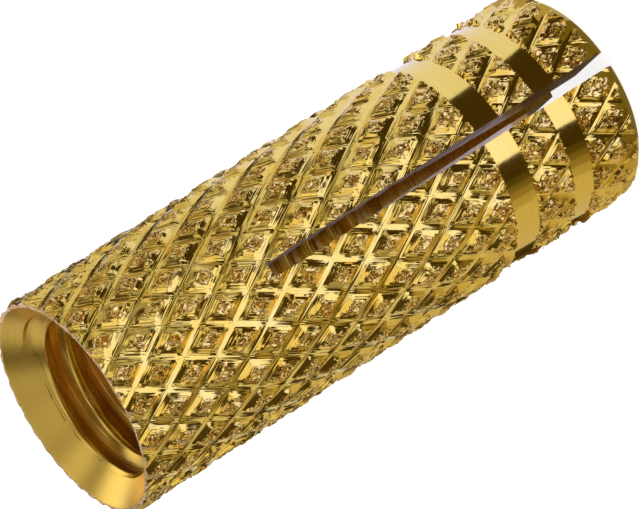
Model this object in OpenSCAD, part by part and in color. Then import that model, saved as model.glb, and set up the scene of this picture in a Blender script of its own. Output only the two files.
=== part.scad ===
// Slotted expansion sleeve, turned from brass bar with a crossed knurl.
// It stands on its slotted end: the axis is +Z and the threaded mouth is on top.
// All sizes are in millimetres, all angles in degrees.

/* [Sleeve] */
// Length from the slotted end to the mouth
sleeve_length = 27.5; // [24:0.5:40]
// Outside diameter over the tops of the knurl
sleeve_d = 10.2; // [9.8:0.1:12]
// Radius of the rounded outer edge at the slotted end
end_round = 0.7; // [0.3:0.05:1]
// Size of the bevel on the outer edge at the mouth
mouth_bevel = 0.2; // [0.1:0.05:0.4]

/* [Knurl] */
// Number of grooves in each of the two crossing sets
groove_count = 20; // [14:1:24]
// Slant of the left-hand grooves from the axis
left_slant = 31.3; // [26:0.1:40]
// Slant of the right-hand grooves from the axis
right_slant = 30.4; // [26:0.1:40]
// Depth of the grooves
groove_depth = 0.22; // [0.1:0.01:0.3]
// Width of the flat floor of a groove
groove_floor = 0.22; // [0.16:0.01:0.3]
// Slope of a groove's walls from its floor
wall_slope = 45; // [40:1:70]
// Rise of each diamond's crown above the tops of its walls
crown_rise = 0.05; // [0.02:0.01:0.08]
// Turn of the whole pattern about the axis
knurl_turn = 8.5; // [0:0.5:18]

/* [Turned bands] */
// Depth of both bands below the tops of the knurl
band_depth = 0.25; // [0.1:0.01:0.4]
// Length along the axis that a band's side wall slopes over
band_wall = 0.12; // [0.05:0.01:0.3]
// Height of the lower band's floor above the slotted end
lower_band_z = 2.9; // [2:0.1:3.5]
// Width of the lower band's floor
lower_band_width = 1.1; // [0.6:0.1:1.4]
// Height of the upper band's floor above the slotted end
upper_band_z = 6.0; // [5.6:0.1:8]
// Width of the upper band's floor
upper_band_width = 1.3; // [0.6:0.1:2]

/* [Saw slots] */
// Number of slots cut right across the sleeve
slot_count = 2; // [1:1:3]
// Width of a slot
slot_width = 0.7; // [0.4:0.05:1.2]
// Length of the slots from the slotted end
slot_length = 18.8; // [10:0.1:20]

/* [Bore] */
// Diameter of the tapped hole inside its thread (M8)
thread_bore_d = 6.9; // [6.6:0.05:7.2]
// Length of the tapped hole, from the mouth
thread_length = 15.5; // [10:0.5:18]
// Diameter of the countersink at the mouth
countersink_d = 9.24; // [8:0.02:9.3]
// Full angle of the countersink
countersink_angle = 90; // [60:1:120]
// Diameter of the narrow hole at the slotted end
tip_bore_d = 2.8; // [2:0.1:5.5]
// Length of the narrow hole
tip_bore_length = 3; // [1:0.5:5]

/* [Hidden] */

brass = [0.80, 0.66, 0.27];
turned_fn = 96;
// Length that a cut runs on past the face it opens
past = 1;
// Depth that the diamonds are rooted below the groove floors
rooted = 0.1;

sleeve_r = sleeve_d / 2;
root_r = sleeve_r - groove_depth;
band_r = sleeve_r - band_depth;
countersink_depth = (countersink_d - thread_bore_d) / 2 / tan(countersink_angle / 2);

// Angle about the axis from one groove of a set to the next
groove_step = 360 / groove_count;
// Distance along the axis from one groove to the next, in each set
left_spacing = PI * sleeve_d / groove_count / tan(left_slant);
right_spacing = PI * sleeve_d / groove_count / tan(right_slant);
// Distance along the axis from one ring of diamonds to the next
row_pitch = 1 / (1 / left_spacing + 1 / right_spacing);
last_row = ceil(sleeve_length / row_pitch);
// Turn about the axis from one ring of diamonds to the next
row_turn = -groove_step * row_pitch / left_spacing;
// Distance on the groove floors, square across from one groove to the next
cross_pitch = 2 * PI * root_r / groove_count * cos((left_slant + right_slant) / 2);

// Width of a groove at radius r, as a share of the distance between grooves
function groove_share(r) = (groove_floor + 2 * (r - root_r) / tan(wall_slope)) / cross_pitch;

// Corner of a flat diamond at radius r. The signs u and v say on which side of
// its middle the corner lies, counted across the left and the right grooves.
function diamond_corner(u, v, r) =
    let (
        half = (1 - groove_share(r)) / 2,
        z = (u - v) * half * row_pitch,
        turn = groove_step * (u * half - z / left_spacing)
    )
    [r, root_r * turn * PI / 180, z];

function diamond_ring(r) =
    [for (s = [[1, -1], [1, 1], [-1, 1], [-1, -1]]) diamond_corner(s[0], s[1], r)];

// One diamond of the knurl at angle 0, with four flat walls and a low pointed crown
module diamond() {
    polyhedron(
        points = concat(
            diamond_ring(root_r - rooted),
            diamond_ring(sleeve_r - crown_rise),
            [[sleeve_r, 0, 0]]
        ),
        faces = concat(
            [[3, 2, 1, 0]],
            [for (k = [0:3]) [k, (k + 1) % 4, (k + 1) % 4 + 4, k + 4]],
            [for (k = [0:3]) [k + 4, (k + 1) % 4 + 4, 8]]
        ),
        convexity = 2
    );
}

// Knurled bar: a plain core that carries rings of diamonds, with the grooves between
module knurled_bar() {
    translate([0, 0, -past])
        cylinder(r = root_r, h = sleeve_length + 2 * past, $fn = turned_fn);
    for (row = [0:last_row], k = [1:groove_count])
        translate([0, 0, row * row_pitch])
            rotate(knurl_turn + groove_step * (k + 0.5) + row_turn * row)
                diamond();
}

// Section of the cut for one band, whose floor starts at height z
module band_section(z, width) {
    run = band_wall * (1 + past / band_depth);
    polygon([
        [band_r, z],
        [band_r, z + width],
        [sleeve_r + past, z + width + run],
        [sleeve_r + past, z - run]
    ]);
}

// Section of the cut for the bevel at the mouth
module bevel_section() {
    polygon([
        [sleeve_r - mouth_bevel - past, sleeve_length + past],
        [sleeve_r + past, sleeve_length - mouth_bevel - past],
        [sleeve_r + past, sleeve_length + past]
    ]);
}

// Section of the cut that rounds the outer edge at the slotted end
module round_section() {
    difference() {
        translate([sleeve_r - end_round, -past])
            square(end_round + past);
        translate([sleeve_r - end_round, end_round])
            circle(r = end_round, $fn = turned_fn);
    }
}

// Half section of the sleeve's outside, open beyond the tops of the knurl
module outer_section() {
    difference() {
        square([sleeve_r + past / 2, sleeve_length]);
        round_section();
        bevel_section();
        band_section(lower_band_z, lower_band_width);
        band_section(upper_band_z, upper_band_width);
    }
}

// Half section of the hole: narrow tip, wedging cone, tapped hole and countersink
module bore_section() {
    polygon([
        [0, -past],
        [tip_bore_d / 2, -past],
        [tip_bore_d / 2, tip_bore_length],
        [thread_bore_d / 2, sleeve_length - thread_length],
        [thread_bore_d / 2, sleeve_length - countersink_depth],
        [countersink_d / 2, sleeve_length],
        [countersink_d / 2, sleeve_length + past],
        [0, sleeve_length + past]
    ]);
}

// Slots sawn right across the sleeve from its lower end, which leave it in legs
module saw_slots() {
    for (k = [1:slot_count])
        rotate(k * 180 / slot_count)
            translate([-sleeve_r - past, -slot_width / 2, -past])
                cube([sleeve_d + 2 * past, slot_width, slot_length + past]);
}

// The smooth sleeve as turned and sawn, before its knurl
module turned_sleeve() {
    difference() {
        rotate_extrude($fn = turned_fn)
            difference() {
                outer_section();
                bore_section();
            }
        saw_slots();
    }
}

module expansion_sleeve() {
    color(brass)
        intersection() {
            knurled_bar();
            turned_sleeve();
        }
}

expansion_sleeve();
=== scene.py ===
# Dressed model of a slotted brass expansion sleeve with a crossed knurl.
# The outside and the bore are made as flat sheets, unrolled: x is the turn about the
# axis and y the height. They are rolled up, joined at both ends and sawn.
# Sizes are in millimetres and become metres when a piece is finished.
import math
import random

import bmesh
import bpy
from mathutils import Matrix, Vector, noise


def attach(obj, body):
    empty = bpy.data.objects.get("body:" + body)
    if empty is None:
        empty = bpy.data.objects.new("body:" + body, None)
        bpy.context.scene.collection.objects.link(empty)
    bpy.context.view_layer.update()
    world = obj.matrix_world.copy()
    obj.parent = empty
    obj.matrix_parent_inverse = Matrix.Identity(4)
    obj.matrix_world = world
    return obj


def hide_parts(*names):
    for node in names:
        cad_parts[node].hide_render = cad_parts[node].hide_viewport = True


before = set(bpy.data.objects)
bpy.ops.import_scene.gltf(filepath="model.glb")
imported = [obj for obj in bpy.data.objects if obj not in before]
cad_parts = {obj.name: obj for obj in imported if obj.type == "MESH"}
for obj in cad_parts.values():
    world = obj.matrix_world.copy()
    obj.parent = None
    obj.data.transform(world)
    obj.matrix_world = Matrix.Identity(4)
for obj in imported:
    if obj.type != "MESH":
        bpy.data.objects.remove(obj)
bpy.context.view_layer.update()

MM = 0.001
FULL_TURN = 2 * math.pi

# Sleeve, as turned
SLEEVE_LENGTH = 27.5
SLEEVE_R = 5.1
# Radius that no diamond or burr passes
CREST_R = 5.088
END_BEVEL = 0.6
MOUTH_BEVEL = 0.15
# Heights of extra mesh lines on the bevel at the slotted end, and depth of one at the mouth
END_BEVEL_LINES = (0.3, 0.42)
MOUTH_LINE = 0.16

# Knurl
GROOVE_COUNT = 20
LEFT_SLANT = math.radians(31.3)
RIGHT_SLANT = math.radians(30.4)
KNURL_TURN = math.radians(8.5)
# Both sets: radius at the middle of a groove, half the width of its hollow floor, and the
# slope of its walls
LEFT_GROOVE = (4.85, 0.105, 0.64)
RIGHT_GROOVE = (4.872, 0.12, 0.60)
FLOOR_HOLLOW = 0.10
WALL_TOP_R = 5.045
# Distances from a groove's middle of the mesh lines across a diamond's top
TOP_LINES = (0.375, 0.44, 0.515, 0.59)

# Distance from a groove's middle where the walls start to be uneven, and by how much
UNEVEN_AT = 0.14
UNEVEN = 0.05
# Distance from a groove's middle where the torn top starts, how far its edge wanders, the
# widths of its edge and of the slope into its hollow, and how high its edge is thrown up
TORN_AT = 0.40
TORN_WANDER = 0.12
TORN_EDGE = 0.07
HOLLOW_START = 0.03
HOLLOW_SLOPE = 0.1
TORN_LIP = 0.03
# Height of the crumbs on the torn top, depths of its hollow and of the pits in it, and how much
# more of it is pitted than half
TORN_CRUMBS = 0.09
HOLLOW_DEPTH = 0.02
PIT_DEPTH = 0.16
PIT_SHARE = 0.08

# The slotted end, where the wheels pressed less: the height where that ends and the length it
# fades over, how much sooner the torn tops start there, and how much narrower the floors are
TIP_ZONE_END = 9.5
TIP_ZONE_FADE = 2
TORN_SOONER = 0.13
FLOOR_NARROWER = 0.05
# The side where the left wheel pressed deeper and the right wheel less: its turn, how far past a
# quarter turn from it that starts and over how much it fades, both as a cosine, and how much
# wider the left floors, narrower the right floors and shallower the right grooves are there
LEFT_WHEEL_SIDE = math.radians(-20)
SIDE_PAST = 0.1
SIDE_FADE = 0.8
LEFT_FLOOR_WIDER = 0.035
RIGHT_FLOOR_NARROWER = 0.06
RIGHT_SHALLOWER = 0.02

GROOVE_STEP = FULL_TURN / GROOVE_COUNT
LEFT_SPACING = GROOVE_STEP * SLEEVE_R / math.tan(LEFT_SLANT)
RIGHT_SPACING = GROOVE_STEP * SLEEVE_R / math.tan(RIGHT_SLANT)
ROW_PITCH = 1 / (1 / LEFT_SPACING + 1 / RIGHT_SPACING)
ROW_COUNT = math.ceil(SLEEVE_LENGTH / ROW_PITCH)
# Distance from one groove to the next, square across them on their floors
FLOOR_R = 4.88
CROSS_PITCH = GROOVE_STEP * FLOOR_R * math.cos((LEFT_SLANT + RIGHT_SLANT) / 2)

# Turned bands: height and width of each floor, and the length of the side walls
BAND_R = 4.85
BAND_WALL = 0.12
BANDS = ((2.9, 1.1), (6.0, 1.3))

# Saw slots, with the direction of each of their four arms
SLOT_HALF = 0.35
SLOT_LENGTH = 18.8
SLOT_ARMS = ((0, -1), (1, 0), (0, 1), (-1, 0))

# Bore
THREAD_PITCH = 1.25
THREAD_SHIFT = -0.75
THREAD_CREST_R = 3.45
THREAD_ROOT_R = 4.05
# Height where the thread ends, the length it runs out over, the length that the tap reached
# past it, and how far that stays inside the crests
THREAD_END = 10.3
THREAD_RUN_OUT = 1.8
TAP_NOSE = 1
TAP_NOSE_IN = 0.08
# Section of the thread, in parts of its pitch and depth: half the flat of the crest, the slope
# of its rounding, and where the flank starts, how deep it is there and how wide it is
CREST_FLAT = 0.03
CREST_ROUNDING = 1.4
FLANK_START = 0.08
FLANK_START_DEPTH = 0.07
FLANK_WIDTH = 0.33
COUNTERSINK_R = 4.76
TIP_R = 1.4
TIP_LENGTH = 3.0
CONE_END = 10.6
# Mesh of the bore: columns round it, turns of thread along it, lines in one turn, and lines
# above the countersink's start
BORE_COLUMNS = 88
BORE_TURNS = 24
THREAD_LINES = (0.09, 0.42, 0.47, 0.53, 0.58, 0.615, 0.91)
COUNTERSINK_LINES = (0, 0.2, 0.4, 0.65)

# How near a point of the mesh lies to a plane or edge that it is on
ON_EDGE = 1e-3
ON_WALL = 2e-4

# Camera, as angles about the sleeve's axis and above the floor
VIEW_TURN = math.radians(-94.7)
VIEW_RISE = math.radians(25.4)
VIEW_ROLL = math.radians(-122.45)
VIEW_DISTANCE = 237.66
VIEW_LENS = 317.07
VIEW_TARGET = Vector((-0.1, 0.2, 14.12))


# ---------------------------------------------------------------- sheets

def spread(index, places):
    """Place of a numbered line on a sheet, in periods, from the places of one period's lines."""
    period, k = divmod(index, len(places))
    return period + places[k]


def sheet(columns, rows, place):
    """A flat grid whose points are moved to place(column, row)."""
    bm = bmesh.new()
    bmesh.ops.create_grid(bm, x_segments=columns, y_segments=rows, size=0.5)
    for v in bm.verts:
        column = round((v.co.x + 0.5) * columns)
        row = round((v.co.y + 0.5) * rows)
        v.co = place(column, row)
    return bm


def cut(bm, point, normal, drop=False, faces=None):
    """Cuts the mesh, or only some of its faces, with a plane. drop removes the normal's side."""
    geom = bm.verts[:] + bm.edges[:] + bm.faces[:]
    if faces is not None:
        edges = {e for f in faces for e in f.edges}
        verts = {v for f in faces for v in f.verts}
        geom = list(verts) + list(edges) + list(faces)
    bmesh.ops.bisect_plane(
        bm, geom=geom, dist=1e-5, plane_co=point, plane_no=normal, clear_outer=drop)


def trim(bm, heights):
    """Trims an unrolled sheet to the sleeve's length and gives it an edge at each height."""
    cut(bm, (0, 0, 0), (0, -1, 0), drop=True)
    cut(bm, (0, SLEEVE_LENGTH, 0), (0, 1, 0), drop=True)
    for z in heights:
        cut(bm, (0, z, 0), (0, 1, 0))


def name_lattice(bm):
    """Gives each corner of an unrolled sheet its count of grooves, for patterns on the knurl."""
    layer = bm.loops.layers.uv.new("lattice")
    for f in bm.faces:
        for loop in f.loops:
            loop[layer].uv = lattice(loop.vert.co.x, loop.vert.co.y)


def roll_up(bm, radius):
    """Rolls an unrolled sheet into a tube of the given radius and joins its seam."""
    for v in bm.verts:
        turn, z = v.co.x, v.co.y
        r = radius(turn, z)
        v.co = (r * math.cos(turn), r * math.sin(turn), z)
    bmesh.ops.remove_doubles(bm, verts=bm.verts, dist=ON_WALL)


# ---------------------------------------------------------------- outside

def knurl_lines(floor_half):
    """Places of the sheet's lines across one groove and one diamond, in groove pitches."""
    mid_wall = (floor_half + TOP_LINES[0]) / 2
    half = [d / CROSS_PITCH for d in (floor_half, mid_wall, *TOP_LINES)]
    return [0.0] + half + [1 - h for h in reversed(half)]


def knurl_place(column, row):
    u = spread(column, knurl_lines(LEFT_GROOVE[1]))
    v = spread(row, knurl_lines(RIGHT_GROOVE[1])) - ROW_COUNT - 1
    z = (u - v) * ROW_PITCH
    return Vector((KNURL_TURN + GROOVE_STEP * (u - z / LEFT_SPACING), z, 0))


def lattice(turn, z):
    """How many left-hand and right-hand grooves lie before a point of the sleeve."""
    around = (turn - KNURL_TURN) / GROOVE_STEP
    return around + z / LEFT_SPACING, around - z / RIGHT_SPACING


def groove_distance(count):
    """Distance to the nearest groove's middle, from a count of grooves."""
    return abs(count - round(count)) * CROSS_PITCH


def smooth(x):
    """0 below 0, 1 above 1, and an even step between."""
    x = min(max(x, 0.0), 1.0)
    return x * x * (3 - 2 * x)


def crumbs(p, size, seed):
    """Uneven relief between about -1 and 1, with crumbs of a size."""
    return noise.noise(p / size + Vector((seed, 2.3 * seed, -seed)))


def near_tip(z):
    """1 at the slotted end and its bands, and 0 further up, where the wheels pressed deeper."""
    return smooth((TIP_ZONE_END - z) / TIP_ZONE_FADE)


def groove_radius(groove, d, wider):
    """Radius of a groove's cut at distance d from its middle, with its floor made wider."""
    middle, half, slope = groove
    half += wider
    return middle + FLOOR_HOLLOW * min(d, half) + slope * max(d - half, 0)


def knurl_radius(turn, z):
    """Radius of the knurl: groove floors, sloping walls, and each diamond's torn, hollow top."""
    u, v = lattice(turn, z)
    a = groove_distance(u)
    b = groove_distance(v)
    tip = near_tip(z)
    side = smooth((math.cos(turn - LEFT_WHEEL_SIDE) + SIDE_PAST) / SIDE_FADE)
    left = groove_radius(LEFT_GROOVE, a, LEFT_FLOOR_WIDER * side - FLOOR_NARROWER * tip)
    right = groove_radius(RIGHT_GROOVE, b, -RIGHT_FLOOR_NARROWER * side - FLOOR_NARROWER * tip)
    r = min(left, right + RIGHT_SHALLOWER * side, WALL_TOP_R)
    d = min(a, b)
    if d > UNEVEN_AT:
        p = Vector((math.cos(turn) * SLEEVE_R, math.sin(turn) * SLEEVE_R, z))
        r += smooth((d - UNEVEN_AT) / UNEVEN_AT) * UNEVEN * crumbs(p, size=0.6, seed=3.0)
        wander = TORN_WANDER * crumbs(p, size=0.42, seed=5.0)
        torn = d + wander + TORN_SOONER * tip - TORN_AT
        top = smooth(torn / TORN_EDGE + 0.5)
        hollow = smooth((torn - HOLLOW_START) / HOLLOW_SLOPE)
        r += top * (1 - hollow) * TORN_LIP
        coarse = TORN_CRUMBS * crumbs(p, size=0.3, seed=11.0)
        fine = TORN_CRUMBS * crumbs(p, size=0.16, seed=29.0)
        r += top * (coarse + fine)
        pits = max(0.0, crumbs(p, size=0.5, seed=41.0) + PIT_SHARE)
        r -= hollow * (HOLLOW_DEPTH + PIT_DEPTH * pits)
    return min(r, CREST_R)


def band_radius(z):
    """Radius that the turning leaves at a height: the bands and the bevels at both ends."""
    r = math.inf
    for start, width in BANDS:
        out = max(start - z, z - start - width, 0)
        r = min(r, BAND_R + out / BAND_WALL * (SLEEVE_R - BAND_R))
    return min(r, SLEEVE_R - END_BEVEL + z, SLEEVE_R - MOUTH_BEVEL + (SLEEVE_LENGTH - z))


def outside_radius(turn, z):
    return min(knurl_radius(turn, z), band_radius(z))


def outside_skin():
    lines = len(knurl_lines(LEFT_GROOVE[1]))
    bm = sheet(GROOVE_COUNT * lines, (GROOVE_COUNT + ROW_COUNT + 1) * lines, knurl_place)
    heights = [*END_BEVEL_LINES, END_BEVEL]
    heights += [SLEEVE_LENGTH - MOUTH_LINE, SLEEVE_LENGTH - MOUTH_BEVEL]
    for start, width in BANDS:
        heights += [start - BAND_WALL, start, start + width, start + width + BAND_WALL]
    trim(bm, heights + [SLOT_LENGTH])
    name_lattice(bm)
    roll_up(bm, outside_radius)
    return bm


# ---------------------------------------------------------------- bore

def bore_place(column, row):
    around = column / BORE_COLUMNS
    w = spread(row, THREAD_LINES) - 1
    height = THREAD_SHIFT + THREAD_PITCH * (w + around)
    return Vector((FULL_TURN * column / BORE_COLUMNS, height, 0))


def thread_radius(turn, z):
    """Radius of the tapped hole: a 60 degree thread that runs out where the tap ended."""
    phase = ((z - THREAD_SHIFT) / THREAD_PITCH - turn / FULL_TURN) % 1
    off = abs(phase - 0.5)
    rounding = (off - CREST_FLAT) * CREST_ROUNDING
    flank = (off - FLANK_START) / FLANK_WIDTH * (1 - FLANK_START_DEPTH) + FLANK_START_DEPTH
    cut_depth = max(rounding, min(flank, 1), 0)
    full = smooth((z - THREAD_END + THREAD_RUN_OUT / 2) / THREAD_RUN_OUT)
    crest = THREAD_CREST_R - TAP_NOSE_IN * (1 - full)
    return crest + cut_depth * (THREAD_ROOT_R - THREAD_CREST_R) * full


def bore_radius(turn, z):
    """Radius of the hole: narrow tip, wedging cone, tapped hole and countersink."""
    opening = max(z - TIP_LENGTH, 0) / (CONE_END - TIP_LENGTH)
    r = min(TIP_R + opening * (THREAD_CREST_R - TIP_R), THREAD_CREST_R)
    r = max(r, COUNTERSINK_R - (SLEEVE_LENGTH - z))
    if z > THREAD_END - TAP_NOSE:
        r = max(r, thread_radius(turn, z))
    return r


def bore_skin():
    bm = sheet(BORE_COLUMNS, BORE_TURNS * len(THREAD_LINES), bore_place)
    sink = SLEEVE_LENGTH - (COUNTERSINK_R - THREAD_CREST_R)
    trim(bm, [TIP_LENGTH, SLOT_LENGTH] + [sink + h for h in COUNTERSINK_LINES])
    name_lattice(bm)
    roll_up(bm, bore_radius)
    return bm


# ---------------------------------------------------------------- one closed sleeve

def from_axis(v):
    return v.co.xy.length


def join(bm, other):
    mesh = bpy.data.meshes.new("joined")
    other.to_mesh(mesh)
    other.free()
    bm.from_mesh(mesh)
    bpy.data.meshes.remove(mesh)


def fill_flat(bm, test):
    """Fills the flat opening whose edges pass a test of both their ends."""
    edges = [e for e in bm.edges
             if (e.is_boundary or e.is_wire) and all(test(v.co) for v in e.verts)]
    bmesh.ops.triangle_fill(bm, use_beauty=True, use_dissolve=False, edges=edges)


def saw_slots(bm):
    """Opens the four slot arms and closes their flat walls and ends."""
    for axis in ((1, 0, 0), (0, 1, 0)):
        for side in (-1, 1):
            low = [f for f in bm.faces if f.calc_center_median().z < SLOT_LENGTH]
            cut(bm, Vector(axis) * SLOT_HALF * side, axis, faces=low)
    gone = []
    for f in bm.faces:
        c = f.calc_center_median()
        if c.z < SLOT_LENGTH and min(abs(c.x), abs(c.y)) < SLOT_HALF:
            gone.append(f)
    bmesh.ops.delete(bm, geom=gone, context="FACES")
    for x, y in SLOT_ARMS:
        def in_arm(co):
            return co.x * x + co.y * y > 1

        open_verts = {v for e in bm.edges if e.is_boundary for v in e.verts if in_arm(v.co)}
        for side in (-1, 1):
            def on_wall(co):
                across = co.y * x - co.x * y
                return in_arm(co) and abs(across - side * SLOT_HALF) < ON_WALL

            top = [v for v in open_verts
                   if on_wall(v.co) and abs(v.co.z - SLOT_LENGTH) < ON_EDGE]
            corners = [max(top, key=from_axis), min(top, key=from_axis)]
            bmesh.ops.contextual_create(bm, geom=corners)
            fill_flat(bm, on_wall)
        fill_flat(bm, lambda co: in_arm(co) and abs(co.z - SLOT_LENGTH) < ON_WALL)


KNURLED, TURNED, SAWN, TAPPED, RIM, COUNTERSUNK = range(6)
# A normal's length along an axis that it points along
SQUARE_ON = 0.999
# Depth below the mouth down to which a face may be the countersink's, and the radius and the
# depth that keep the tapped hole's faces apart from it
SINK_DEPTH = 1.2
TAPPED_R = 4.1
TAPPED_DEPTH = 1.0
# How far inside the turned radius a face's middle may lie and still be turned
RIM_SLACK = 0.02
TURNED_SLACK = 0.012
# Height within which a face lies on the slotted end
END_FACE = 1e-4


def finish_at(face):
    """The finish of the tool that cut a face."""
    c = face.calc_center_median()
    n = face.normal
    r = c.xy.length
    from_mouth = SLEEVE_LENGTH - c.z
    off_walls = min(abs(abs(c.x) - SLOT_HALF), abs(abs(c.y) - SLOT_HALF))
    if c.z < SLOT_LENGTH + ON_EDGE and off_walls < ON_EDGE and max(abs(n.x), abs(n.y)) > SQUARE_ON:
        return SAWN
    if abs(c.z - SLOT_LENGTH) < ON_EDGE and abs(n.z) > SQUARE_ON:
        return SAWN
    if r < TAPPED_R and from_mouth > TAPPED_DEPTH and c.z > END_FACE:
        return TAPPED
    if from_mouth < ON_EDGE or from_mouth < MOUTH_BEVEL and r > band_radius(c.z) - RIM_SLACK:
        return RIM
    if from_mouth < SINK_DEPTH and r < COUNTERSINK_R:
        return COUNTERSUNK
    if r > band_radius(c.z) - TURNED_SLACK or c.z < END_FACE:
        return TURNED
    return KNURLED


# Angle between faces that keeps an edge sharp on the sleeve, in its thread, and on the burrs
SLEEVE_SHARP = 17
THREAD_SHARP = 42
BURR_SHARP = 30


def finish_mesh(bm, name, materials, sharp):
    """Turns a finished bmesh into a piece in metres that rides on the sleeve's body.
    Its shading is smooth, and broken where faces meet at a sharp angle."""
    for f in bm.faces:
        f.smooth = True
    for e in bm.edges:
        tapped = all(f.material_index == TAPPED for f in e.link_faces)
        e.smooth = e.calc_face_angle(0) < math.radians(THREAD_SHARP if tapped else sharp)
    bmesh.ops.scale(bm, vec=(MM, MM, MM), verts=bm.verts)
    mesh = bpy.data.meshes.new(name)
    bm.to_mesh(mesh)
    bm.free()
    for m in materials:
        mesh.materials.append(m)
    piece = bpy.data.objects.new(name, mesh)
    bpy.context.scene.collection.objects.link(piece)
    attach(piece, "root")
    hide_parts("expansion_sleeve")


def knurled_sleeve(materials):
    bm = outside_skin()
    join(bm, bore_skin())
    for z in (0, SLEEVE_LENGTH):
        rims = [e for e in bm.edges
                if e.is_boundary and all(abs(v.co.z - z) < ON_EDGE for v in e.verts)]
        bmesh.ops.triangle_fill(bm, use_beauty=True, use_dissolve=False, edges=rims)
    saw_slots(bm)
    bmesh.ops.recalc_face_normals(bm, faces=bm.faces)
    for f in bm.faces:
        f.material_index = finish_at(f)
    finish_mesh(bm, "knurled_sleeve", materials, SLEEVE_SHARP)


# ---------------------------------------------------------------- burrs on the knurl

# Curled burr, for a ring of radius 1: sides and radius of the rod, its bend, and how thin its
# ends are
CURL_SIDES = 5
CURL_ROD = 0.2
CURL_BEND = math.radians(200)
CURL_END = 0.25
# Radius of the rings, how much of it the narrower way has and how much the wider way, and the
# scale of their thickness
CURL_SIZES = (0.12, 0.25)
CURL_NARROW = (0.7, 1.0)
CURL_WIDE = 1.25
CURL_THICK = 0.15
# How far round and up a curl may lie from a diamond's middle, and how far it may tip
CURL_AROUND = 0.08
CURL_UP = 0.16
CURL_TIP = 0.16

# Length and width of a crumb, as shares of the largest length, and how far it may tip
CRUMB_LENGTHS = (0.4, 1.0)
CRUMB_WIDTHS = (0.3, 0.7)
CRUMB_TIP = 0.6
# Spread round and up of the crumbs about a diamond's middle, and up about a band's edge
CRUMB_AROUND = 0.13
CRUMB_UP = 0.24
BAND_CRUMB_UP = 0.03
# Radii that crumbs sit between on the diamonds and the bands' edges, and along the slots, and
# their largest lengths
CRUMB_RADII = (4.98, 5.05)
SLOT_CRUMB_RADII = (4.99, 5.04)
CRUMB = 0.08
SLOT_CRUMB = 0.05
BAND_CRUMBS = (0.05, 0.08, 0.13)
# Distance from a groove's middle that keeps a crumb on the torn top, or out of the grooves
ON_TOP = 0.37
OUT_OF_GROOVE = 0.15
# Distance that burrs keep from the slots and bands
CURL_CLEAR = 0.24
CRUMB_CLEAR = 0.08
# Distance of the crumbs from the bands' edges, and their number along an upper and a lower edge
BAND_EDGE = 0.04
UPPER_EDGE_CRUMBS = 220
LOWER_EDGE_CRUMBS = 150
# Crumbs along a slot: height of the first, step to the next, how far they lie beside the slot,
# and the lowest outside that carries one
SLOT_CRUMBS_START = 0.8
SLOT_CRUMB_STEPS = (0.05, 0.16)
SLOT_CRUMBS_BESIDE = 0.025
SLOT_CRUMBS_ON = 5.0
# Curls and crumbs on one diamond
CURL_COUNTS = (1, 1, 2)
CRUMB_COUNTS = (6, 11)


def curl_shape():
    """A thin curled burr: a rod bent through most of a ring and tapered to its ends."""
    bm = bmesh.new()
    upright = Matrix.Translation((1, 0, 0)) @ Matrix.Rotation(math.pi / 2, 4, "X")
    bmesh.ops.create_circle(bm, segments=CURL_SIDES, radius=CURL_ROD, matrix=upright)
    bmesh.ops.spin(bm, geom=bm.verts[:] + bm.edges[:], cent=(0, 0, 0), axis=(0, 0, 1),
                   angle=CURL_BEND, steps=7, use_merge=False)
    for v in bm.verts:
        turn = math.atan2(v.co.y, v.co.x) % FULL_TURN
        middle = Vector((math.cos(turn), math.sin(turn), 0))
        along = min(turn, CURL_BEND) / CURL_BEND
        thin = CURL_END + (1 - CURL_END) * math.sin(along * math.pi)
        v.co = middle + (v.co - middle) * thin
    bmesh.ops.holes_fill(bm, edges=[e for e in bm.edges if e.is_boundary], sides=CURL_SIDES)
    mesh = bpy.data.meshes.new("curl_shape")
    bm.to_mesh(mesh)
    bm.free()
    return mesh


def crumb_shape():
    bm = bmesh.new()
    bmesh.ops.create_icosphere(bm, subdivisions=1, radius=1)
    mesh = bpy.data.meshes.new("crumb_shape")
    bm.to_mesh(mesh)
    bm.free()
    return mesh


def on_sleeve(turn, z, r, spin, tip, size):
    """Where a burr sits: at a turn and height, spun about the normal, tipped and sized."""
    place = Matrix.Rotation(turn, 4, "Z") @ Matrix.Translation((r, 0, z))
    facing_out = place @ Matrix.Rotation(math.pi / 2, 4, "Y")
    turned = facing_out @ Matrix.Rotation(spin, 4, "Z") @ Matrix.Rotation(tip, 4, "X")
    return turned @ Matrix.Diagonal((*size, 1))


def free_of_slots(turn, z, margin):
    x, y = SLEEVE_R * math.cos(turn), SLEEVE_R * math.sin(turn)
    return z > SLOT_LENGTH + margin or min(abs(x), abs(y)) > SLOT_HALF + margin


def free_of_cuts(turn, z, margin):
    """Whether a burr stays clear of the slots, the bands and the bevels."""
    if not free_of_slots(turn, z, margin):
        return False
    return all(band_radius(edge) > SLEEVE_R - RIM_SLACK for edge in (z - margin, z + margin))


def groove_clearance(turn, z):
    """Distance from a point of the sleeve to the nearest groove's middle."""
    u, v = lattice(turn, z)
    return min(groove_distance(u), groove_distance(v))


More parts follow.
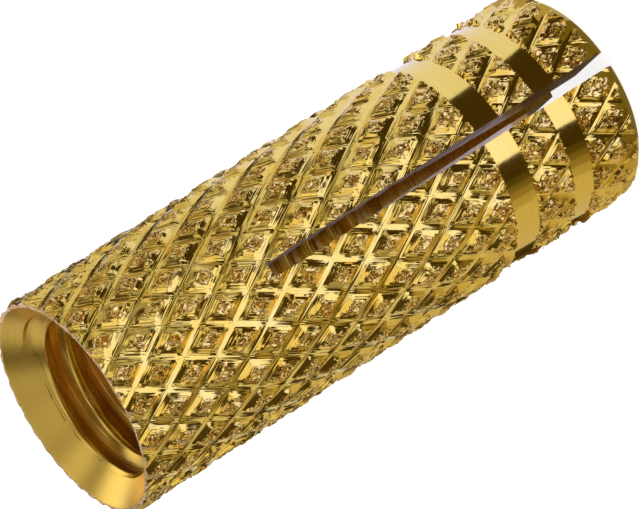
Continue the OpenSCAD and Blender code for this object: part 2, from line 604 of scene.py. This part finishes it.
class Burrs:
    """The mesh that burrs are added to, with the random draws that vary them."""

    def __init__(self, seed):
        self.rng = random.Random(seed)
        self.bm = bmesh.new()
        self.curl, self.crumb = curl_shape(), crumb_shape()

    def add(self, shape, place):
        burr = shape.copy()
        burr.transform(place)
        self.bm.from_mesh(burr)
        bpy.data.meshes.remove(burr)

    def off(self, most):
        """A random offset to either side."""
        return self.rng.uniform(-most, most)

    def any_spin(self):
        return self.rng.uniform(0, 6.28)

    def add_curl(self, turn, z):
        """A curled burr near the middle of a diamond."""
        size = self.rng.uniform(*CURL_SIZES)
        t = turn + self.off(CURL_AROUND) / SLEEVE_R
        h = z + self.off(CURL_UP)
        spin, tip = self.any_spin(), self.off(CURL_TIP)
        if free_of_cuts(t, h, CURL_CLEAR):
            shape = (size * self.rng.uniform(*CURL_NARROW), size * CURL_WIDE, CURL_THICK)
            self.add(self.curl, on_sleeve(t, h, WALL_TOP_R, spin, tip, shape))

    def add_crumb(self, turn, z, radii, largest):
        shares = (CRUMB_LENGTHS, CRUMB_WIDTHS, CRUMB_WIDTHS)
        size = [self.rng.uniform(*share) * largest for share in shares]
        r = self.rng.uniform(*radii)
        spin, tip = self.any_spin(), self.off(CRUMB_TIP)
        self.add(self.crumb, on_sleeve(turn, z, r, spin, tip, size))

    def top_crumb(self, turn, z):
        """A crumb on the torn top of a diamond."""
        t = turn + self.rng.gauss(0, CRUMB_AROUND) / SLEEVE_R
        h = z + self.rng.gauss(0, CRUMB_UP)
        far_in = groove_clearance(t, h) + TORN_SOONER * near_tip(h)
        if far_in > ON_TOP and free_of_cuts(t, h, CRUMB_CLEAR):
            self.add_crumb(t, h, CRUMB_RADII, CRUMB)

    def on_diamonds(self):
        for row in range(1, ROW_COUNT):
            for k in range(GROOVE_COUNT):
                z = row * ROW_PITCH
                turn = KNURL_TURN + GROOVE_STEP * (k + 0.5 - z / LEFT_SPACING)
                for _ in range(self.rng.choice(CURL_COUNTS)):
                    self.add_curl(turn, z)
                for _ in range(self.rng.randint(*CRUMB_COUNTS)):
                    self.top_crumb(turn, z)

    def along_band_edge(self, z, count):
        for _ in range(count):
            t = self.rng.uniform(0, FULL_TURN)
            if groove_clearance(t, z) > OUT_OF_GROOVE and free_of_slots(t, z, CRUMB_CLEAR):
                h = z + self.rng.gauss(0, BAND_CRUMB_UP)
                self.add_crumb(t, h, CRUMB_RADII, self.rng.choice(BAND_CRUMBS))

    def along_slot_edge(self, arm, side):
        beside = side * math.asin((SLOT_HALF + SLOT_CRUMBS_BESIDE) / SLEEVE_R)
        turn = arm * math.pi / 2 + beside
        z = SLOT_CRUMBS_START
        while z < SLOT_LENGTH:
            if outside_radius(turn, z) > SLOT_CRUMBS_ON:
                self.add_crumb(turn, z, SLOT_CRUMB_RADII, SLOT_CRUMB)
            z += self.rng.uniform(*SLOT_CRUMB_STEPS)

    def finish(self):
        """Keeps every burr within the crests' radius and returns the mesh."""
        bpy.data.meshes.remove(self.curl)
        bpy.data.meshes.remove(self.crumb)
        for v in self.bm.verts:
            over = CREST_R / v.co.xy.length
            if over < 1:
                v.co.xy *= over
        bmesh.ops.recalc_face_normals(self.bm, faces=self.bm.faces)
        return self.bm


def crest_burrs(materials):
    """Burrs and crumbs that the wheels left on the diamonds, and crumbs along the cut edges."""
    burrs = Burrs(seed=7)
    burrs.on_diamonds()
    for start, width in BANDS:
        burrs.along_band_edge(start + width + BAND_WALL + BAND_EDGE, UPPER_EDGE_CRUMBS)
    for start, width in BANDS:
        burrs.along_band_edge(start - BAND_WALL - BAND_EDGE, LOWER_EDGE_CRUMBS)
    for arm in range(4):
        for side in (-1, 1):
            burrs.along_slot_edge(arm, side)
    finish_mesh(burrs.finish(), "crest_burrs", materials, BURR_SHARP)


# ---------------------------------------------------------------- finishes

class Finish:
    """A node-based finish: small helpers that add nodes and link them."""

    def __init__(self, name, metallic=1.0):
        self.material = bpy.data.materials.new(name)
        self.material.use_nodes = True
        self.tree = self.material.node_tree
        self.shader = self.tree.nodes["Principled BSDF"]
        self.put("Metallic", metallic)

    def put(self, socket, value):
        self.shader.inputs[socket].default_value = value

    def node(self, kind, **settings):
        n = self.tree.nodes.new(kind)
        for key, value in settings.items():
            setattr(n, key, value)
        return n

    def feed(self, socket, value):
        if hasattr(value, "is_output"):
            self.tree.links.new(value, socket)
        else:
            socket.default_value = value

    def math(self, operation, *values):
        n = self.node("ShaderNodeMath", operation=operation)
        for socket, value in zip(n.inputs, values):
            self.feed(socket, value)
        return n.outputs[0]

    def add(self, first, second):
        return self.math("ADD", first, second)

    def times(self, first, second):
        return self.math("MULTIPLY", first, second)

    def blend(self, share, first, second):
        n = self.node("ShaderNodeMix", data_type="RGBA")
        self.feed(n.inputs[0], share)
        self.feed(n.inputs[6], first)
        self.feed(n.inputs[7], second)
        return n.outputs[2]

    def span(self, value, low, high, to_low=0.0, to_high=1.0):
        n = self.node("ShaderNodeMapRange")
        for socket, v in zip(n.inputs, (value, low, high, to_low, to_high)):
            self.feed(socket, v)
        return n.outputs[0]

    def grain(self, vector, scale, detail=2.0, roughness=0.5):
        n = self.node("ShaderNodeTexNoise")
        self.feed(n.inputs["Vector"], vector)
        self.feed(n.inputs["Scale"], scale)
        self.feed(n.inputs["Detail"], detail)
        self.feed(n.inputs["Roughness"], roughness)
        return n.outputs[0]

    def vector(self, x, y, z):
        n = self.node("ShaderNodeCombineXYZ")
        for socket, v in zip(n.inputs, (x, y, z)):
            self.feed(socket, v)
        return n.outputs[0]

    def place(self):
        return self.node("ShaderNodeTexCoord").outputs["Object"]

    def parts(self, vector):
        n = self.node("ShaderNodeSeparateXYZ")
        self.feed(n.inputs[0], vector)
        return n.outputs

    def bump(self, height, distance, strength=1.0, below=None):
        """Relief from a height, a distance deep in millimetres, over other relief below."""
        n = self.node("ShaderNodeBump")
        self.feed(n.inputs["Height"], height)
        self.feed(n.inputs["Distance"], distance * MM)
        self.feed(n.inputs["Strength"], strength)
        if below is not None:
            self.feed(n.inputs["Normal"], below)
        return n.outputs[0]

    def tool_marks(self, around, along, height=None):
        """Fine marks of a cutting tool: noise drawn out round the axis, close along it."""
        x, y, z = self.parts(self.place())
        if height is not None:
            z = height(x, y, z)
        drawn = self.vector(self.times(x, around), self.times(y, around), self.times(z, along))
        return self.grain(drawn, scale=1.0, detail=3.0, roughness=0.6)

    def finish(self, colour, roughness, normal):
        self.feed(self.shader.inputs["Base Color"], colour)
        self.feed(self.shader.inputs["Roughness"], roughness)
        self.feed(self.shader.inputs["Normal"], normal)
        return self.material


# Tones of the brass. The deep tone is darker brass in the saw marks, and painted shade in the
# knurl's pits and the rim's grit. The crumb tone is a painted highlight on the knurl's raised
# crumbs.
BRASS = (0.90, 0.575, 0.08, 1)
DEEP_BRASS_AND_PAINTED_SHADE = (0.62, 0.37, 0.04, 1)
BRASS_PALE = (0.94, 0.66, 0.15, 1)
CRUMB_PAINTED_HIGHLIGHT = (0.98, 0.65, 0.19, 1)
RIM_TOP = (0.95, 0.66, 0.36, 1)


def knurl_finish():
    """Rolled brass: drawn lines along the grooves and walls, and crumbly tops, with a painted
    highlight on the crumbs' raised bits and painted shade in their pits.
    """
    f = Finish("knurled_brass")
    at = f.place()
    uv = f.parts(f.node("ShaderNodeUVMap", uv_map="lattice").outputs[0])
    a = f.math("PINGPONG", uv[0], 0.5)
    b = f.math("PINGPONG", uv[1], 0.5)
    d = f.times(f.math("MINIMUM", a, b), CROSS_PITCH)
    left = f.math("LESS_THAN", a, b)
    right = f.math("SUBTRACT", 1.0, left)
    across = f.add(f.times(uv[0], left), f.times(uv[1], right))
    along = f.add(f.times(uv[1], left), f.times(uv[0], right))
    drawn = f.grain(f.vector(f.times(across, 15.0), f.times(along, 0.4), left),
                    scale=1.0, detail=1.0)
    crumb = f.grain(at, scale=5000.0, detail=1.0)
    ragged = f.grain(at, scale=2600.0, roughness=0.6)
    tip_start, tip_end = (TIP_ZONE_END - TIP_ZONE_FADE) * MM, TIP_ZONE_END * MM
    sooner = f.span(f.parts(at)[2], tip_start, tip_end, TORN_SOONER, 0.0)
    wander = f.times(f.math("SUBTRACT", ragged, 0.5), 0.4)
    top = f.span(f.add(f.add(d, sooner), wander), 0.36, 0.41)
    patch = f.grain(at, scale=900.0)
    colour = f.blend(f.span(patch, 0.35, 0.65), BRASS, BRASS_PALE)
    # Painted highlight: the pale crumb tone lies where the crumb relief is high. Painted shade:
    # the deep tone lies where that relief is low, in the pits.
    colour = f.blend(f.times(top, f.span(crumb, 0.35, 0.6)), colour, CRUMB_PAINTED_HIGHLIGHT)
    colour = f.blend(f.times(top, f.span(crumb, 0.46, 0.30)), colour, DEEP_BRASS_AND_PAINTED_SHADE)
    rough = f.span(top, 0.0, 1.0, 0.11, 0.2)
    lines = f.bump(drawn, 0.022)
    return f.finish(colour, rough, f.bump(f.times(top, crumb), 0.03, below=lines))


def marked(f, marks, tones, roughnesses, deep, strength):
    """Finishes a material by its tool marks: two tones, two roughnesses and shallow relief."""
    colour = f.blend(f.span(marks, 0.3, 0.7), *tones)
    rough = f.span(marks, 0.3, 0.7, *roughnesses)
    return f.finish(colour, rough, f.bump(marks, deep, strength))


def turned_finish(name, rough, deep):
    """Turned brass: fine circular marks round the axis."""
    f = Finish(name)

    def outwards(x, y, z):
        return f.add(z, f.math("SQRT", f.add(f.times(x, x), f.times(y, y))))

    marks = f.tool_marks(60.0, 16000.0, outwards)
    return marked(f, marks, (BRASS_PALE, BRASS), (rough, rough + 0.06), deep, 0.5)


def sawn_finish():
    """Sawn brass: fine marks straight through the wall."""
    f = Finish("sawn_brass")
    marks = f.tool_marks(120.0, 6000.0)
    return marked(f, marks, (DEEP_BRASS_AND_PAINTED_SHADE, BRASS), (0.24, 0.36), 0.012, 0.7)


def tapped_finish():
    """Tapped brass: marks that follow the thread."""
    f = Finish("tapped_brass")
    marks = f.tool_marks(90.0, 7000.0)
    return marked(f, marks, (BRASS, BRASS_PALE), (0.22, 0.32), 0.03, 0.8)


def burr_finish():
    """Torn brass of the burrs."""
    f = Finish("torn_brass")
    patch = f.grain(f.place(), scale=3000.0)
    colour = f.blend(f.span(patch, 0.35, 0.65), BRASS, BRASS_PALE)
    rough = f.span(patch, 0.3, 0.7, 0.2, 0.34)
    return f.finish(colour, rough, f.bump(patch, 0.02, 0.5))


def rim_finish():
    """Crumbled brass of the thin rim round the mouth, with painted shade in the grit's hollows."""
    f = Finish("crumbled_rim_brass")
    grit = f.grain(f.place(), scale=7000.0, roughness=0.6)
    # Painted shade: the deep tone lies where the grit's relief is low, in its hollows, and the
    # rim's own pale tone lies where the relief is high.
    colour = f.blend(f.span(grit, 0.3, 0.5), DEEP_BRASS_AND_PAINTED_SHADE, RIM_TOP)
    return f.finish(colour, 0.34, f.bump(grit, 0.05))


# ---------------------------------------------------------------- studio

FLOOR_HALF = 3000
FLOOR_TONE = (0.9, 0.9, 0.9, 1)
# Glow of the floor as the camera sees it, and as the brass reflects it
FLOOR_SEEN = 0.85
FLOOR_REFLECTED = 0.05
CARD_LIFT = 0.02

# Tones of the cards
WHITE = (1.14, 1.26, 2.3)
CREAM = (0.86, 0.95, 1.55)
PALE = (0.72, 0.74, 0.82)
GOLD = (0.62, 0.58, 0.44)
TAN = (0.46, 0.41, 0.26)
BROWN = (0.30, 0.25, 0.12)
OLIVE = (0.18, 0.15, 0.05)
SHADE = (0.09, 0.07, 0.015)
DARK = (0.05, 0.035, 0.003)
# Cards on the floor: between two distances, sectors between two turns off the camera, in degrees
FLOOR_CARDS = (
    (4.3, 6, (
        (-45, 35, OLIVE), (35, 180, TAN), (-180, -45, TAN))),
    (6, 26, (
        (-20, 8, WHITE), (8, 53, DARK), (53, 190, CREAM), (-38, -20, DARK), (-44, -38, SHADE),
        (-50, -44, OLIVE), (-57, -50, BROWN), (-66, -57, TAN), (-120, -66, GOLD),
        (-170, -120, DARK))),
    (26, 160, (
        (-38, 8, WHITE), (8, 24, DARK), (24, 38, PALE), (38, 56, DARK), (56, 68, PALE),
        (68, 82, DARK), (82, 116, PALE), (116, 140, DARK), (140, 190, CREAM), (-54, -38, DARK),
        (-66, -54, TAN), (-80, -66, DARK), (-100, -80, PALE), (-124, -100, DARK),
        (-145, -124, PALE), (-170, -145, DARK))),
)

# Soft lamps: turn off the camera and rise in degrees, width and height, and radiance
SOFTBOXES = {
    "front_softbox": (0, 58, 300, 200, 0.8),
    "back_softbox": (146, 30, 520, 220, 1.45),
    "side_softbox": (72, 50, 200, 200, 1.0),
    "other_side_softbox": (-62, 50, 240, 200, 0.65),
    "left_softbox": (62, 7, 260, 80, 1.0),
    "right_softbox": (-88, 9, 200, 140, 0.95),
    "low_softbox": (-132, 26, 260, 200, 0.6),
    "slot_softbox": (-4, 6, 260, 130, 1.0),
}
LAMP_DISTANCE = 420
LAMP_TONE = (0.92, 0.92, 1.0)
WORLD_TONE = (1, 0.72, 0.25, 1)
WORLD_STRENGTH = 0.07


def direction(turn, rise):
    flat = math.cos(rise)
    return Vector((math.cos(turn) * flat, math.sin(turn) * flat, math.sin(rise)))


def into_scene(obj):
    bpy.context.scene.collection.objects.link(obj)
    return obj


def matt_finish(name, tone, rough):
    f = Finish(name, metallic=0.0)
    f.put("Base Color", tone)
    f.put("Roughness", rough)
    f.put("Specular IOR Level", 0.0)
    return f


def stage_plane(name, material, bm):
    bmesh.ops.scale(bm, vec=(MM, MM, MM), verts=bm.verts)
    mesh = bpy.data.meshes.new(name)
    bm.to_mesh(mesh)
    bm.free()
    mesh.materials.append(material)
    obj = into_scene(bpy.data.objects.new(name, mesh))
    return obj


def pale_floor():
    """White floor: full white to the camera where it is lit, with the sleeve's soft shadow."""
    f = matt_finish("pale_floor", FLOOR_TONE, 0.9)
    f.put("Emission Color", (1, 1, 1, 1))
    path = f.node("ShaderNodeLightPath")
    seen = f.times(path.outputs["Is Camera Ray"], FLOOR_SEEN)
    reflected = f.times(path.outputs["Is Glossy Ray"], FLOOR_REFLECTED)
    f.feed(f.shader.inputs["Emission Strength"], f.add(seen, reflected))
    bm = bmesh.new()
    bmesh.ops.create_grid(bm, x_segments=1, y_segments=1, size=FLOOR_HALF)
    stage_plane("pale_floor", f.material, bm)


def studio_card(name, start, end, near, far, tone):
    """A card on the floor, seen only in the sleeve's reflections: a sector of a ring round it."""
    f = matt_finish(name, (0, 0, 0, 1), 1.0)
    f.put("Emission Color", (*tone, 1))
    f.put("Emission Strength", 1.0)
    bm = bmesh.new()
    a = bm.verts.new((near, 0, CARD_LIFT))
    b = bm.verts.new((far, 0, CARD_LIFT))
    edge = bm.edges.new((a, b))
    first = Matrix.Rotation(VIEW_TURN + math.radians(start), 3, "Z")
    bmesh.ops.rotate(bm, verts=bm.verts, cent=(0, 0, 0), matrix=first)
    bmesh.ops.spin(bm, geom=[a, b, edge], cent=(0, 0, 0), axis=(0, 0, 1),
                   angle=math.radians(end - start), steps=12)
    card = stage_plane(name, f.material, bm)
    card.visible_camera = False
    card.visible_diffuse = False
    card.visible_shadow = False


def softbox(name, turn, rise, width, height, radiance):
    """A soft lamp that faces the sleeve's middle, as bright as a white card times radiance."""
    lamp = bpy.data.lights.new(name, "AREA")
    lamp.shape = "RECTANGLE"
    lamp.size, lamp.size_y = width * MM, height * MM
    lamp.energy = radiance * math.pi * lamp.size * lamp.size_y
    lamp.color = LAMP_TONE
    obj = into_scene(bpy.data.objects.new(name, lamp))
    out = direction(VIEW_TURN + math.radians(turn), math.radians(rise))
    obj.location = (VIEW_TARGET + out * LAMP_DISTANCE) * MM
    obj.rotation_euler = out.to_track_quat("Z", "Y").to_euler()


def studio():
    pale_floor()
    for near, far, sectors in FLOOR_CARDS:
        for start, end, tone in sectors:
            studio_card(f"card_{near}_{start}", start, end, near, far, tone)
    for name, settings in SOFTBOXES.items():
        softbox(name, *settings)
    world = bpy.data.worlds.new("studio_world")
    world.use_nodes = True
    bpy.context.scene.world = world
    background = world.node_tree.nodes["Background"]
    background.inputs["Color"].default_value = WORLD_TONE
    background.inputs["Strength"].default_value = WORLD_STRENGTH


def camera():
    data = bpy.data.cameras.new("camera")
    data.sensor_width = 36
    data.lens = VIEW_LENS
    data.clip_start = 0.01
    data.clip_end = 20
    obj = into_scene(bpy.data.objects.new("camera", data))
    out = direction(VIEW_TURN, VIEW_RISE)
    look = out.to_track_quat("Z", "Y").to_matrix().to_4x4()
    stand = Matrix.Translation((VIEW_TARGET + out * VIEW_DISTANCE) * MM)
    obj.matrix_world = stand @ look @ Matrix.Rotation(VIEW_ROLL, 4, "Z")
    bpy.context.scene.camera = obj
    bpy.context.scene.view_settings.view_transform = "Standard"


camera()
studio()
knurled_sleeve([
    knurl_finish(),
    turned_finish("turned_brass", 0.09, 0.001),
    sawn_finish(),
    tapped_finish(),
    rim_finish(),
    turned_finish("countersunk_brass", 0.30, 0.008),
])
crest_burrs([burr_finish()])
